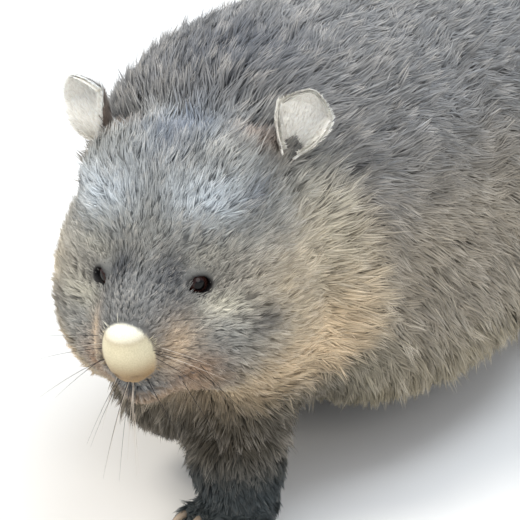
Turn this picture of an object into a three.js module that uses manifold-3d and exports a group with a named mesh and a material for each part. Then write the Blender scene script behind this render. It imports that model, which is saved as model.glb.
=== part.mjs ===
// A still, life-size hairy-nosed wombat, walking with its head held low and turned a little to its left.
// Millimetres, +Z up. The animal faces -Y and its left side is +X.
// The origin is on the floor, under the middle of the whole body's box.
// Every surface is that of the coat: the flesh lies a coat's depth below it.
import * as THREE from "three";
import { mergeVertices } from "three/addons/utils/BufferGeometryUtils.js";
import Module from "manifold-3d";

const wasm = await Module();
wasm.setup();

const GAP = 0.3; // between neighbouring pieces
const CELLS = { head: 11.8, nose: 6, neck: 26, torso: 33.5, leg: 25, paw: 14.5, tail: 14, cutter: 32 };

// The head in its own frame: nose along -Y, left ear to +X, crown to +Z.
const HEAD = { at: [20, -358, 240], yaw: 10, pitch: 15, roll: -2.5, nape: 86, throat: -114 };
const SKULL = { at: [0, 30, 6], radii: [88, 90, 76] };
const CHEEK = { at: [56, 8, -52], radii: [54, 76, 84], blend: 30 };
const TEMPLE = { at: [40, 24, 50], radii: [38, 56, 34], blend: 17 };
const JOWL = { at: [32, -44, -58], radii: [34, 46, 40], blend: 24 };
const MUZZLE = { at: [0, -68, -18], radii: [35, 60, 36], blend: 28 };
const LIP = { at: [18, -86, -38], radii: [20, 34, 26], blend: 12 };
const JAW = { at: [0, -80, -64], radii: [25, 42, 25], blend: 12 };
const NOSE = { at: [0, -120, -28], radii: [20, 17, 26], blend: 8 };
const NOSE_PAD = { at: [0, -127, -27], radii: [25, 17, 29] };
const NOSTRIL = { at: [9.5, -136, -42], radii: [4.2, 9, 2.8], tilt: 28 };
const MOUTH = { at: [0, -78, -56], outer: 90, radii: [22, 50], back: -70, height: 2.4, slope: 7 };
const EYE = { at: [46, -64, 1], radius: 10.5, yaw: 44, lift: 4, lid: 14.5, proud: 3.2, width: 19, height: 13 };
const EAR = { root: [84, 71, 60], length: 60, width: 45, thick: 3.6, yaw: 16, splay: 26, lean: 4 };

// The trunk, from the chest back to the tail. What is mirrored stands on both sides.
const CHEST = { at: [0, -160, 238], radii: [156, 160, 148] };
const BARREL = { at: [0, 20, 224], radii: [168, 240, 158], blend: 55 };
const BELLY = { at: [80, -40, 126], radii: [92, 230, 98], blend: 55 };
const RUMP = { at: [0, 190, 228], radii: [154, 142, 140], blend: 55 };
const NECK = { at: [8, -250, 236], radii: [126, 98, 120], blend: 50 };
const BRISKET = { at: [-14, -304, 116], radii: [56, 58, 74], blend: 36 };
const TAIL = { from: [0, 304, 212], to: [0, 340, 190], radii: [28, 14], blend: 20, cut: 326 };
const HEAD_BLEND = 16;
const SHOULDER_Y = -198; // where the neck ends and the torso begins

// Each leg is a chain of joints, from shoulder or hip to toes: its place and its radius there.
const LEGS = {
  foreleg_left: [[80, -236, 176, 58], [40, -300, 106, 52], [64, -338, 52, 38], [76, -352, 22, 31]],
  foreleg_right: [[-88, -214, 176, 60], [-102, -156, 112, 46], [-74, -104, 50, 34], [-70, -118, 22, 30]],
  hindleg_left: [[94, 212, 188, 74], [108, 176, 112, 58], [98, 280, 60, 34], [98, 280, 24, 24], [102, 218, 18, 24]],
  hindleg_right: [[-94, 198, 188, 74], [-108, 146, 112, 58], [-98, 246, 60, 34], [-98, 246, 24, 24], [-102, 184, 18, 24]],
};
const LEG = { bend: 14, blend: 30, cutter: 11 };
const TOES = {
  fore: { count: 5, reach: 34, spread: 56, fan: 36, radius: 9.5, height: 12, ankle: 52 },
  hind: { count: 4, reach: 30, spread: 48, fan: 26, radius: 9.5, height: 12, ankle: 54 },
};
const TOE_BLEND = 6;
const CLAW = { fore: 23, hind: 17, width: 8.5, height: 9.5, root: 8, droop: 28, sides: 6, rings: 3 };

const rad = THREE.MathUtils.degToRad;

// Fields: each gives the distance to a shape's surface, below zero inside it.
function blend(a, b, k) {
  const h = Math.min(1, Math.max(0, 0.5 + (0.5 * (b - a)) / k));
  return b * (1 - h) + a * h - k * h * (1 - h);
}

function ellipsoid(x, y, z, { at, radii }) {
  const dx = x - at[0], dy = y - at[1], dz = z - at[2];
  const k0 = Math.hypot(dx / radii[0], dy / radii[1], dz / radii[2]);
  const k1 = Math.hypot(dx / radii[0] ** 2, dy / radii[1] ** 2, dz / radii[2] ** 2);
  return (k0 * (k0 - 1)) / Math.max(k1, 1e-9);
}

function roundCone(x, y, z, a, b, ra, rb) {
  const bx = b[0] - a[0], by = b[1] - a[1], bz = b[2] - a[2];
  const px = x - a[0], py = y - a[1], pz = z - a[2];
  const t = Math.min(1, Math.max(0, (px * bx + py * by + pz * bz) / (bx * bx + by * by + bz * bz)));
  return Math.hypot(px - t * bx, py - t * by, pz - t * bz) - (ra + (rb - ra) * t);
}

const headFrame = new THREE.Matrix4().makeRotationZ(rad(HEAD.yaw));
headFrame.multiply(new THREE.Matrix4().makeRotationX(rad(HEAD.pitch)));
headFrame.multiply(new THREE.Matrix4().makeRotationY(rad(HEAD.roll)));
headFrame.setPosition(...HEAD.at);
const intoHead = headFrame.clone().invert();

function headField(x, y, z) {
  const q = new THREE.Vector3(x, y, z).applyMatrix4(intoHead);
  const side = Math.abs(q.x);
  let d = ellipsoid(side, q.y, q.z, SKULL);
  for (const part of [CHEEK, TEMPLE, MUZZLE, LIP, JAW, NOSE, JOWL]) {
    d = blend(d, ellipsoid(side, q.y, q.z, part), part.blend);
  }
  return d;
}

// Where each toe leaves its paw, and the way it points, fanned about the paw's own heading.
function toesOf(name) {
  const kind = name.startsWith("fore") ? "fore" : "hind";
  const { count, reach, spread, fan, radius, height } = TOES[kind];
  const paw = LEGS[name].at(-1);
  return Array.from({ length: count }, (_, i) => {
    const share = i / (count - 1) - 0.5;
    const turn = rad(share * fan);
    const way = new THREE.Vector3(Math.sin(turn), -Math.cos(turn), 0);
    const root = new THREE.Vector3(paw[0] + share * spread * 0.6, paw[1] - 8, height + 4);
    const tip = new THREE.Vector3(paw[0] + share * spread * 0.78, paw[1], height)
      .addScaledVector(way, reach - 14 * share * share);
    return { way, root, tip, radius, kind };
  });
}

function legField(name, x, y, z) {
  const chain = LEGS[name];
  let d = Infinity;
  for (let i = 0; i + 1 < chain.length; i++) {
    const [a, b] = [chain[i], chain[i + 1]];
    const bone = roundCone(x, y, z, a, b, a[3], b[3]);
    d = i ? blend(d, bone, LEG.bend) : bone;
  }
  for (const { root, tip, radius } of toesOf(name)) {
    const toe = roundCone(x, y, z, root.toArray(), tip.toArray(), radius + 3, radius);
    d = blend(d, toe, TOE_BLEND);
  }
  return d;
}

function trunkField(x, y, z) {
  let d = ellipsoid(x, y, z, CHEST);
  d = blend(d, ellipsoid(x, y, z, BARREL), BARREL.blend);
  d = blend(d, ellipsoid(Math.abs(x), y, z, BELLY), BELLY.blend);
  d = blend(d, ellipsoid(x, y, z, RUMP), RUMP.blend);
  d = blend(d, ellipsoid(x, y, z, NECK), NECK.blend);
  return blend(d, ellipsoid(x, y, z, BRISKET), BRISKET.blend);
}

function bodyField(x, y, z) {
  let d = blend(trunkField(x, y, z), headField(x, y, z), HEAD_BLEND);
  for (const name of Object.keys(LEGS)) d = blend(d, legField(name, x, y, z), LEG.blend);
  return blend(d, roundCone(x, y, z, TAIL.from, TAIL.to, ...TAIL.radii), TAIL.blend);
}

// A closed mesh of a field's zero level inside a box, with one vertex in each cell that it crosses.
// With grow, each vertex then moves that far out along the field's slope.
function netted(field, low, high, cell, grow = 0) {
  const n = [0, 1, 2].map((i) => Math.ceil((high[i] - low[i]) / cell) + 1);
  const stride = [n[1] * n[2], n[2], 1];
  const edge = (v, i) => v === 0 || v === n[i] - 1;
  const value = new Float64Array(n[0] * n[1] * n[2]).fill(1);
  for (let i = 0; i < n[0]; i++) {
    for (let j = 0; j < n[1]; j++) {
      for (let k = 0; k < n[2]; k++) {
        if (edge(i, 0) || edge(j, 1) || edge(k, 2)) continue;
        const at = i * stride[0] + j * stride[1] + k;
        value[at] = field(low[0] + i * cell, low[1] + j * cell, low[2] + k * cell) || 1e-6;
      }
    }
  }
  // Where a face of the grid has its corners in and out by turns, the one nearest the surface changes sides.
  for (let at = 0; at < value.length; at++) {
    for (const [u, v] of [[0, 1], [1, 2], [0, 2]]) {
      const ring = [at, at + stride[u], at + stride[u] + stride[v], at + stride[v]];
      if (ring[2] >= value.length) continue;
      const inside = ring.map((c) => value[c] < 0);
      if (inside[0] !== inside[2] || inside[1] !== inside[3] || inside[0] === inside[1]) continue;
      const near = ring.reduce((a, b) => (Math.abs(value[b]) < Math.abs(value[a]) ? b : a));
      value[near] *= -0.1;
    }
  }
  const vertexOf = new Map();
  const points = [];
  function vertex(i, j, k) {
    const key = i * stride[0] + j * stride[1] + k;
    if (vertexOf.has(key)) return vertexOf.get(key);
    const sum = [0, 0, 0];
    let count = 0;
    for (let corner = 0; corner < 8; corner++) {
      const c = [corner >> 2, (corner >> 1) & 1, corner & 1];
      const a = value[key + c[0] * stride[0] + c[1] * stride[1] + c[2]];
      for (let axis = 0; axis < 3; axis++) {
        if (c[axis]) continue;
        const b = value[key + (c[0] * stride[0] + c[1] * stride[1] + c[2]) + stride[axis]];
        if (a < 0 === b < 0) continue;
        for (let m = 0; m < 3; m++) sum[m] += c[m] + (m === axis ? a / (a - b) : 0);
        count++;
      }
    }
    const place = [i, j, k].map((v, m) => low[m] + cell * (v + sum[m] / count));
    if (grow) {
      const here = field(...place);
      const slope = place.map((_, m) => field(...place.map((v, o) => (o === m ? v + 0.5 : v))) - here);
      const steep = Math.hypot(...slope);
      slope.forEach((v, m) => (place[m] += (grow * v) / steep));
    }
    vertexOf.set(key, points.length / 3);
    points.push(...place);
    return vertexOf.get(key);
  }
  const faces = [];
  for (let i = 0; i < n[0] - 1; i++) {
    for (let j = 0; j < n[1] - 1; j++) {
      for (let k = 0; k < n[2] - 1; k++) {
        const here = value[i * stride[0] + j * stride[1] + k];
        for (let axis = 0; axis < 3; axis++) {
          const next = value[i * stride[0] + j * stride[1] + k + stride[axis]];
          if (here < 0 === next < 0) continue;
          const [u, v] = [(axis + 1) % 3, (axis + 2) % 3];
          const ring = [[1, 1], [0, 1], [0, 0], [1, 0]].map(([du, dv]) => {
            const at = [i, j, k];
            at[u] -= du;
            at[v] -= dv;
            return vertex(...at);
          });
          if (next < 0) ring.reverse();
          faces.push(ring[0], ring[1], ring[2], ring[0], ring[2], ring[3]);
        }
      }
    }
  }
  return new wasm.Manifold(
    new wasm.Mesh({
      numProp: 3,
      vertProperties: new Float32Array(points),
      triVerts: new Uint32Array(faces),
    }),
  );
}

// A closed three.js geometry as a solid, and a solid as a geometry.
function solidOf(geometry, matrix = new THREE.Matrix4()) {
  const bare = (geometry.index ? geometry.toNonIndexed() : geometry.clone()).applyMatrix4(matrix);
  bare.deleteAttribute("normal");
  bare.deleteAttribute("uv");
  const merged = mergeVertices(bare, 1e-3);
  return new wasm.Manifold(
    new wasm.Mesh({
      numProp: 3,
      vertProperties: merged.attributes.position.array,
      triVerts: new Uint32Array(merged.index.array),
    }),
  );
}

function geometryOf(solid) {
  const mesh = solid.getMesh();
  const geometry = new THREE.BufferGeometry();
  geometry.setAttribute("position", new THREE.BufferAttribute(mesh.vertProperties, 3));
  geometry.setIndex(new THREE.BufferAttribute(mesh.triVerts, 1));
  return geometry;
}

function largest(solid) {
  return solid.decompose().sort((a, b) => b.volume() - a.volume())[0];
}

function boxSolid(low, high, matrix) {
  const size = high.map((v, i) => v - low[i]);
  const middle = high.map((v, i) => (v + low[i]) / 2);
  return solidOf(new THREE.BoxGeometry(...size).translate(...middle), matrix);
}

function ballSolid(radii, at, matrix, across = 14, down = 10) {
  const ball = new THREE.SphereGeometry(1, across, down).scale(...radii).translate(...at);
  return solidOf(ball, matrix);
}

const FAR = 900;
const floorUp = boxSolid([-FAR, -FAR, 0], [FAR, FAR, FAR]);
const headSide = boxSolid([-FAR, -FAR, HEAD.throat], [FAR, HEAD.nape, FAR], headFrame);
const headSideWide = boxSolid([-FAR, -FAR, HEAD.throat - GAP], [FAR, HEAD.nape + GAP, FAR], headFrame);
const neckSide = boxSolid([-FAR, -FAR, -FAR], [FAR, SHOULDER_Y, FAR]);
const torsoSide = boxSolid([-FAR, SHOULDER_Y + GAP, -FAR], [FAR, FAR, FAR]);

// A piece of the whole body, meshed in its own box and a little past it.
function bodyPiece(low, high, cell) {
  return netted(bodyField, low, high, cell).intersect(floorUp);
}

// A leg is parted from the trunk along its own shape, swollen by the cutter's depth.
function legCutter(name, low, high, grow) {
  const field = (x, y, z) => legField(name, x, y, z) - LEG.cutter;
  return netted(field, low, high, CELLS.cutter, grow);
}

// The surface point of the head from a point inside it, along a direction in the head's frame.
function headSurface(from, way) {
  const point = from.clone();
  for (let step = 0; step < 60; step++) {
    const world = point.clone().applyMatrix4(headFrame);
    const d = headField(...world.toArray());
    if (Math.abs(d) < 0.01) break;
    point.addScaledVector(way, -d * 0.8);
  }
  return point;
}

// An eye looks outwards. Its middle lies below the coat, so that the lids stand just proud of it.
function eyeFrame(side) {
  const gaze = new THREE.Vector3(side * Math.sin(rad(EYE.yaw)), -Math.cos(rad(EYE.yaw)), Math.sin(rad(EYE.lift)));
  gaze.normalize();
  const start = new THREE.Vector3(side * EYE.at[0], EYE.at[1], EYE.at[2]);
  const middle = headSurface(start, gaze).addScaledVector(gaze, EYE.proud - EYE.lid);
  const turn = new THREE.Quaternion().setFromUnitVectors(new THREE.Vector3(0, -1, 0), gaze);
  return headFrame.clone().multiply(new THREE.Matrix4().compose(middle, turn, new THREE.Vector3(1, 1, 1)));
}

// The opening between the lids: two arcs that meet at the corners, cut straight along the gaze.
function lidOpening() {
  const half = EYE.width / 2;
  const rise = EYE.height / 2;
  const outline = new THREE.Shape();
  outline.moveTo(-half, 0);
  outline.quadraticCurveTo(0, 2 * rise, half, 0);
  outline.quadraticCurveTo(0, -2 * rise, -half, 0);
  const depth = 2 * EYE.lid;
  return new THREE.ExtrudeGeometry(outline, { depth, bevelEnabled: false, curveSegments: 8 }).rotateX(Math.PI / 2);
}

// The mouth: a band between two half ovals, cut in from the front of the muzzle.
function mouthGroove() {
  const outline = new THREE.Shape();
  const { outer, radii, back, height, slope, at } = MOUTH;
  outline.absarc(0, 0, outer, Math.PI, 2 * Math.PI, false);
  outline.lineTo(outer, back - at[1]);
  outline.lineTo(radii[0], back - at[1]);
  outline.absellipse(0, 0, radii[0], radii[1], 0, -Math.PI, true);
  outline.lineTo(-outer, back - at[1]);
  const band = new THREE.ExtrudeGeometry(outline, { depth: height, bevelEnabled: false, curveSegments: 14 });
  band.translate(0, 0, -height / 2).rotateX(rad(slope)).translate(...at);
  return solidOf(band, headFrame);
}

// A lofted shell: rings of points from root to tip, each closed on itself, with both ends capped.
function lofted(rings) {
  const n = rings[0].length;
  const points = rings.flat();
  const faces = [];
  for (let r = 0; r + 1 < rings.length; r++) {
    for (let i = 0; i < n; i++) {
      const [a, b] = [r * n + i, r * n + ((i + 1) % n)];
      faces.push(a, b, b + n, a, b + n, a + n);
    }
  }
  for (const [r, flip] of [[0, true], [rings.length - 1, false]]) {
    const middle = rings[r].reduce((sum, p) => sum.add(p), new THREE.Vector3()).divideScalar(n);
    const hub = points.push(middle) - 1;
    for (let i = 0; i < n; i++) {
      const [a, b] = [r * n + i, r * n + ((i + 1) % n)];
      faces.push(...(flip ? [hub, b, a] : [a, b, hub]));
    }
  }
  const geometry = new THREE.BufferGeometry().setFromPoints(points);
  geometry.setIndex(faces);
  return geometry;
}

// The ear: a pointed scoop, nearly a tube at its root and opening wider to the tip.
function earSolid(side) {
  const { length, width, thick, yaw, splay, lean, root } = EAR;
  const rows = 9;
  const columns = 12;
  const sunk = 0.22; // the share of the ear's length that lies inside the head
  const rings = Array.from({ length: rows }, (_, r) => {
    const share = r / (rows - 1);
    const shape = Math.sin(Math.PI * (0.2 + 0.8 * share ** 1.15)) ** 0.62;
    const span = width * Math.max(shape, 0.1) * 1.25;
    const half = rad(THREE.MathUtils.lerp(150, 58, Math.min(1, share * 1.5)));
    const radius = span / (2 * half);
    const wall = thick * (1 - 0.5 * share);
    const arc = (away, way) => Array.from({ length: columns }, (_, c) => {
      const turn = way * half * ((2 * c) / (columns - 1) - 1);
      const reach = radius + away;
      return new THREE.Vector3(
        Math.sin(turn) * reach, Math.cos(turn) * reach - radius * 0.5, length * (share - sunk));
    });
    return [...arc(wall / 2, -1), ...arc(-wall / 2, 1)];
  });
  const place = new THREE.Matrix4().makeRotationZ(rad(-side * -yaw));
  place.multiply(new THREE.Matrix4().makeRotationY(rad(side * splay)));
  place.multiply(new THREE.Matrix4().makeRotationX(rad(lean)));
  place.setPosition(side * root[0], root[1], root[2]);
  return solidOf(lofted(rings), headFrame.clone().multiply(place));
}

// A claw: flattened rings along an arc that droops, from inside the toe to a blunt tip.
function clawSolid({ way, tip, radius, kind }, grow) {
  const { width, height, root, droop, sides, rings } = CLAW;
  const reach = CLAW[kind];
  const across = new THREE.Vector3(-way.y, way.x, 0);
  const rows = Array.from({ length: rings }, (_, r) => {
    const share = r / (rings - 1);
    const along = -root - grow + (reach + root + grow) * share;
    const fall = rad(droop) * share;
    const middle = tip.clone().addScaledVector(way, radius * 0.7 + along * Math.cos(fall));
    middle.z += 1.5 - Math.max(0, along) * Math.sin(fall) * 0.9;
    const size = 1 - 0.62 * share ** 1.6;
    return Array.from({ length: sides }, (_, s) => {
      const turn = (2 * Math.PI * s) / sides;
      const point = middle.clone().addScaledVector(across, Math.cos(turn) * ((width / 2) * size + grow));
      point.z += Math.sin(turn) * ((height / 2) * size + grow);
      return point;
    });
  });
  return solidOf(lofted(rows));
}

const materials = {
  coat: new THREE.MeshStandardMaterial({ color: 0x80756a, roughness: 0.85, metalness: 0 }),
  paleCoat: new THREE.MeshStandardMaterial({ color: 0xd8cdb8, roughness: 0.8, metalness: 0 }),
  nose: new THREE.MeshStandardMaterial({ color: 0xdccaa0, roughness: 0.7, metalness: 0 }),
  eye: new THREE.MeshStandardMaterial({ color: 0x14100e, roughness: 0.08, metalness: 0 }),
  claw: new THREE.MeshStandardMaterial({ color: 0x6b5d4c, roughness: 0.5, metalness: 0 }),
};

const wombat = new THREE.Group();

function add(name, solid, material) {
  const mesh = new THREE.Mesh(geometryOf(largest(solid)), material);
  mesh.name = name;
  wombat.add(mesh);
}

function buildLegs() {
  const cutters = [];
  for (const name of Object.keys(LEGS)) {
    const low = [0, 1, 2].map((i) => Math.min(...LEGS[name].map((p) => p[i] - p[3])) - 60);
    const high = [0, 1, 2].map((i) => Math.max(...LEGS[name].map((p) => p[i] + p[3])) + 40);
    cutters.push(legCutter(name, low, high, 1.8 * GAP));
    const kind = name.startsWith("fore") ? "fore" : "hind";
    const { ankle } = TOES[kind];
    const cutter = legCutter(name, low, high, 0);
    const upper = bodyPiece(low, high, CELLS.leg).intersect(cutter);
    add(name, upper.intersect(boxSolid([-FAR, -FAR, ankle + GAP], [FAR, FAR, FAR])), materials.coat);

    const pawBox = boxSolid([-FAR, -FAR, 0], [FAR, FAR, ankle]);
    const pawTop = [high[0], high[1], ankle + 25];
    let paw = netted(bodyField, [low[0], low[1], -40], pawTop, CELLS.paw).intersect(pawBox).intersect(cutter);
    const toes = toesOf(name);
    for (const toe of toes) paw = paw.subtract(clawSolid(toe, GAP));
    const label = name.replace("foreleg", "forepaw").replace("hindleg", "hindfoot");
    add(label, paw, materials.coat);
    toes.forEach((toe, i) => add(`claw_${label}_${i + 1}`, clawSolid(toe, 0).intersect(floorUp), materials.claw));
  }
  return cutters;
}

function buildTrunk(cutters) {
  const tailBox = (from) => boxSolid([-FAR, from, -FAR], [FAR, FAR, FAR]);
  let torso = bodyPiece([-220, -310, -40], [220, 400, 440], CELLS.torso).intersect(torsoSide);
  torso = torso.subtract(tailBox(TAIL.cut));
  let neck = bodyPiece([-200, -400, -30], [220, SHOULDER_Y + 60, 430], CELLS.neck).intersect(neckSide);
  neck = neck.subtract(headSideWide);
  for (const cutter of cutters) {
    torso = torso.subtract(cutter);
    neck = neck.subtract(cutter);
  }
  add("torso", torso, materials.coat);
  add("neck", neck, materials.coat);
  const tail = bodyPiece([-60, 280, 120], [60, 380, 290], CELLS.tail).intersect(tailBox(TAIL.cut + GAP));
  add("tail", tail, materials.coat);
  return neck;
}

function buildHead(cutters, neck) {
  const low = [-150, -520, 60];
  const high = [200, -220, 400];
  let head = bodyPiece(low, high, CELLS.head).intersect(headSide);
  for (const cutter of cutters) head = head.subtract(cutter);
  head = largest(head);

  for (const [side, label] of [[1, "left"], [-1, "right"]]) {
    const frame = eyeFrame(side);
    const lid = EYE.lid;
    head = head.add(ballSolid([lid, lid, lid], [0, 0, 0], frame));
    const socket = EYE.radius + GAP;
    head = head.subtract(ballSolid([socket, socket, socket], [0, 0, 0], frame));
    head = head.subtract(solidOf(lidOpening(), frame));
    add(`eye_${label}`, ballSolid([EYE.radius, EYE.radius, EYE.radius], [0, 0, 0], frame), materials.eye);
  }

  for (const [side, label] of [[1, "left"], [-1, "right"]]) {
    const out = new THREE.Vector3(side * Math.sin(rad(EAR.splay)), 0, Math.cos(rad(EAR.splay)));
    out.transformDirection(headFrame).multiplyScalar(GAP);
    const ear = largest(earSolid(side).subtract(head).subtract(neck)).translate(out.toArray());
    add(`ear_${label}`, ear, materials.paleCoat);
  }

  const pad = ballSolid(NOSE_PAD.radii, NOSE_PAD.at, headFrame);
  const padWide = ballSolid(NOSE_PAD.radii.map((r) => r + GAP), NOSE_PAD.at, headFrame);
  const middle = new THREE.Vector3(...NOSE_PAD.at).applyMatrix4(headFrame).toArray();
  let nose = netted(headField, middle.map((v) => v - 42), middle.map((v) => v + 42), CELLS.nose).intersect(pad);
  for (const side of [1, -1]) {
    const slit = new THREE.SphereGeometry(1, 12, 8).scale(...NOSTRIL.radii).rotateY(rad(side * NOSTRIL.tilt));
    slit.translate(side * NOSTRIL.at[0], NOSTRIL.at[1], NOSTRIL.at[2]);
    nose = nose.subtract(solidOf(slit, headFrame));
  }
  add("nose", nose, materials.nose);
  add("head", head.subtract(padWide).subtract(mouthGroove()), materials.coat);
}

const cutters = buildLegs();
buildHead(cutters, buildTrunk(cutters));

const box = new THREE.Box3().setFromObject(wombat);
const middle = box.getCenter(new THREE.Vector3());
wombat.position.set(-middle.x, -middle.y, 0);
const part = new THREE.Group();
part.add(wombat);
export default part;
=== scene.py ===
import math

import bpy
import numpy as np
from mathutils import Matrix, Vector


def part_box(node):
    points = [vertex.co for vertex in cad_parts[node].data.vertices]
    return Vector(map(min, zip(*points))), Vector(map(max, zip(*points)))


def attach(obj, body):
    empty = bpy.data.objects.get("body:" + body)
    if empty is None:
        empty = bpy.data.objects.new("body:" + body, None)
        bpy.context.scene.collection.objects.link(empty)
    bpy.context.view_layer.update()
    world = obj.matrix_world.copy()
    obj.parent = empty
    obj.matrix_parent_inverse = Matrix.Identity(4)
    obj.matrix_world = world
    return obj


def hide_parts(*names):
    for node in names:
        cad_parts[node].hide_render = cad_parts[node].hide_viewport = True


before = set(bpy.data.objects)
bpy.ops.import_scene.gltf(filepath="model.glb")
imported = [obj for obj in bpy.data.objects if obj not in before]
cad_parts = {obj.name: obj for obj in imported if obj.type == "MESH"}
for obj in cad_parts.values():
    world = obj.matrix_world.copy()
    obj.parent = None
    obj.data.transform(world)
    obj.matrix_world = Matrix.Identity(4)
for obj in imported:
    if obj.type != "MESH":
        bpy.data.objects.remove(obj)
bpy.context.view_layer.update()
print("frame loaded")

head = dict(at=(20, -358, 240), yaw=10, pitch=15, roll=-2.5)
headParts = [
    dict(at=(0, 30, 6), radii=(88, 90, 76), blend=1),
    dict(at=(56, 8, -52), radii=(54, 76, 84), blend=30),
    dict(at=(40, 24, 50), radii=(38, 56, 34), blend=17),
    dict(at=(0, -68, -18), radii=(35, 60, 36), blend=28),
    dict(at=(18, -86, -38), radii=(20, 34, 26), blend=12),
    dict(at=(0, -80, -64), radii=(25, 42, 25), blend=12),
    dict(at=(0, -120, -28), radii=(20, 17, 26), blend=8),
    dict(at=(32, -44, -58), radii=(34, 46, 40), blend=24),
]
trunkParts = [
    dict(at=(0, -160, 238), radii=(156, 160, 148), blend=1, twin=False),
    dict(at=(0, 20, 224), radii=(168, 240, 158), blend=55, twin=False),
    dict(at=(80, -40, 126), radii=(92, 230, 98), blend=55, twin=True),
    dict(at=(0, 190, 228), radii=(154, 142, 140), blend=55, twin=False),
    dict(at=(8, -250, 236), radii=(126, 98, 120), blend=50, twin=False),
    dict(at=(-14, -304, 116), radii=(56, 58, 74), blend=36, twin=False),
]
legs = dict(
    foreLeft=[(80, -236, 176, 58), (40, -300, 106, 52), (64, -338, 52, 38), (76, -352, 22, 31)],
    foreRight=[(-88, -214, 176, 60), (-102, -156, 112, 46), (-74, -104, 50, 34), (-70, -118, 22, 30)],
    hindLeft=[(94, 212, 188, 74), (108, 176, 112, 58), (98, 280, 60, 34), (98, 280, 24, 24),
              (102, 218, 18, 24)],
    hindRight=[(-94, 198, 188, 74), (-108, 146, 112, 58), (-98, 246, 60, 34), (-98, 246, 24, 24),
               (-102, 184, 18, 24)],
)
toes = dict(
    fore=dict(count=5, reach=34, spread=56, fan=36, radius=9.5, height=12, claw=23),
    hind=dict(count=4, reach=30, spread=48, fan=26, radius=9.5, height=12, claw=17),
)
toeForm = dict(rootSpread=0.6, tipSpread=0.78, rootBack=8, rootUp=4, rootWide=3, sideShort=14)
tail = dict(start=(0, 304, 212), end=(0, 340, 190), radii=(28, 14), blend=20)
blends = dict(head=16, leg=30, bend=14, toe=6)
fieldReach = dict(headBack=-180, tailFront=220, leg=70, toe=110)
eye = dict(at=(46, -64, 1), radius=10.5, yaw=44, lift=4, lid=14.5, proud=3.2, steps=60)


# A smooth union: where two distances are within k of one another, their lower envelope is rounded off.
def smoothUnion(a, b, k):
    h = np.clip(0.5 + 0.5 * (b - a) / k, 0, 1)
    return b * (1 - h) + a * h - k * h * (1 - h)


# A smooth cut: what is in the first shape and not in the second.
def smoothCut(a, b, k):
    return -smoothUnion(-a, b, k)


# The distance to an ellipsoid, nearly: |p/r| (|p/r| - 1) over the length of its slope.
def ellipsoid(p, at, radii):
    q = p - np.array(at)
    r = np.array(radii, float)
    k0 = np.linalg.norm(q / r, axis=-1)
    k1 = np.linalg.norm(q / (r * r), axis=-1)
    return k0 * (k0 - 1) / np.maximum(k1, 1e-9)


# The distance to a bone from a to b whose radius runs evenly from ra to rb.
def roundCone(p, a, b, ra, rb):
    a, b = np.array(a, float), np.array(b, float)
    along = b - a
    t = np.clip(((p - a) @ along) / (along @ along), 0, 1)
    return np.linalg.norm(p - a - t[..., None] * along, axis=-1) - (ra + (rb - ra) * t)


# Directions of length 1: each over its own length.
def unit(v):
    return v / np.maximum(np.linalg.norm(v, axis=-1, keepdims=True), 1e-9)


# Turns about Z by yaw, then X by pitch, then Y by roll, as a matrix whose columns are the turned axes.
def turned(yaw, pitch, roll=0):
    a, b, c = math.radians(yaw), math.radians(pitch), math.radians(roll)
    aboutZ = np.array([[math.cos(a), -math.sin(a), 0], [math.sin(a), math.cos(a), 0], [0, 0, 1]])
    aboutX = np.array([[1, 0, 0], [0, math.cos(b), -math.sin(b)], [0, math.sin(b), math.cos(b)]])
    aboutY = np.array([[math.cos(c), 0, math.sin(c)], [0, 1, 0], [-math.sin(c), 0, math.cos(c)]])
    return aboutZ @ aboutX @ aboutY


headTurn = turned(head["yaw"], head["pitch"], head["roll"])


# A place in the head's own frame: its offset from the head's middle, measured along the head's axes.
def intoHead(p):
    return (p - np.array(head["at"])) @ headTurn


# The way back: the head's axes times the place, plus the head's middle.
def outOfHead(p):
    return np.asarray(p, float) @ headTurn.T + np.array(head["at"])


# 0 at the first value, 1 at the second, and between them the smooth S of 3 t^2 - 2 t^3.
def ramp(x, start, end):
    t = np.clip((x - start) / (end - start), 0, 1)
    return t * t * (3 - 2 * t)


# The smooth union of a list of ellipsoids. One that has a twin stands on both sides, since x is mirrored.
def unionOf(parts, p):
    mirrored = p.copy()
    mirrored[:, 0] = np.abs(mirrored[:, 0])
    d = None
    for part in parts:
        e = ellipsoid(mirrored if part.get("twin", True) else p, part["at"], part["radii"])
        d = e if d is None else smoothUnion(d, e, part["blend"])
    return d


# The head's surface: the union of its parts, in the head's own frame.
def headField(p):
    return unionOf(headParts, intoHead(p))


# Each toe's root, tip and heading, fanned about the paw's own heading.
def toesOf(name):
    sizes = toes[name[:4]]
    paw = legs[name][-1]
    made = []
    for i in range(sizes["count"]):
        share = i / (sizes["count"] - 1) - 0.5
        turn = math.radians(share * sizes["fan"])
        way = np.array([math.sin(turn), -math.cos(turn), 0])
        root = np.array([paw[0] + share * sizes["spread"] * toeForm["rootSpread"],
                         paw[1] - toeForm["rootBack"], sizes["height"] + toeForm["rootUp"]])
        tip = np.array([paw[0] + share * sizes["spread"] * toeForm["tipSpread"], paw[1], sizes["height"]])
        tip = tip + way * (sizes["reach"] - toeForm["sideShort"] * share * share)
        made.append(dict(root=root, tip=tip, way=way))
    return made


# A leg's surface: the smooth union of its bones, and of its toes near the paw.
def legField(name, p):
    chain = legs[name]
    d = None
    for a, b in zip(chain, chain[1:]):
        bone = roundCone(p, a[:3], b[:3], a[3], b[3])
        d = bone if d is None else smoothUnion(d, bone, blends["bend"])
    radius = toes[name[:4]]["radius"]
    near = np.linalg.norm(p - np.array(chain[-1][:3]), axis=-1) < fieldReach["toe"]
    close = p[near]
    sub = d[near]
    for toe in toesOf(name):
        bone = roundCone(close, toe["root"], toe["tip"], radius + toeForm["rootWide"], radius)
        sub = smoothUnion(sub, bone, blends["toe"])
    d[near] = sub
    return d


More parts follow.
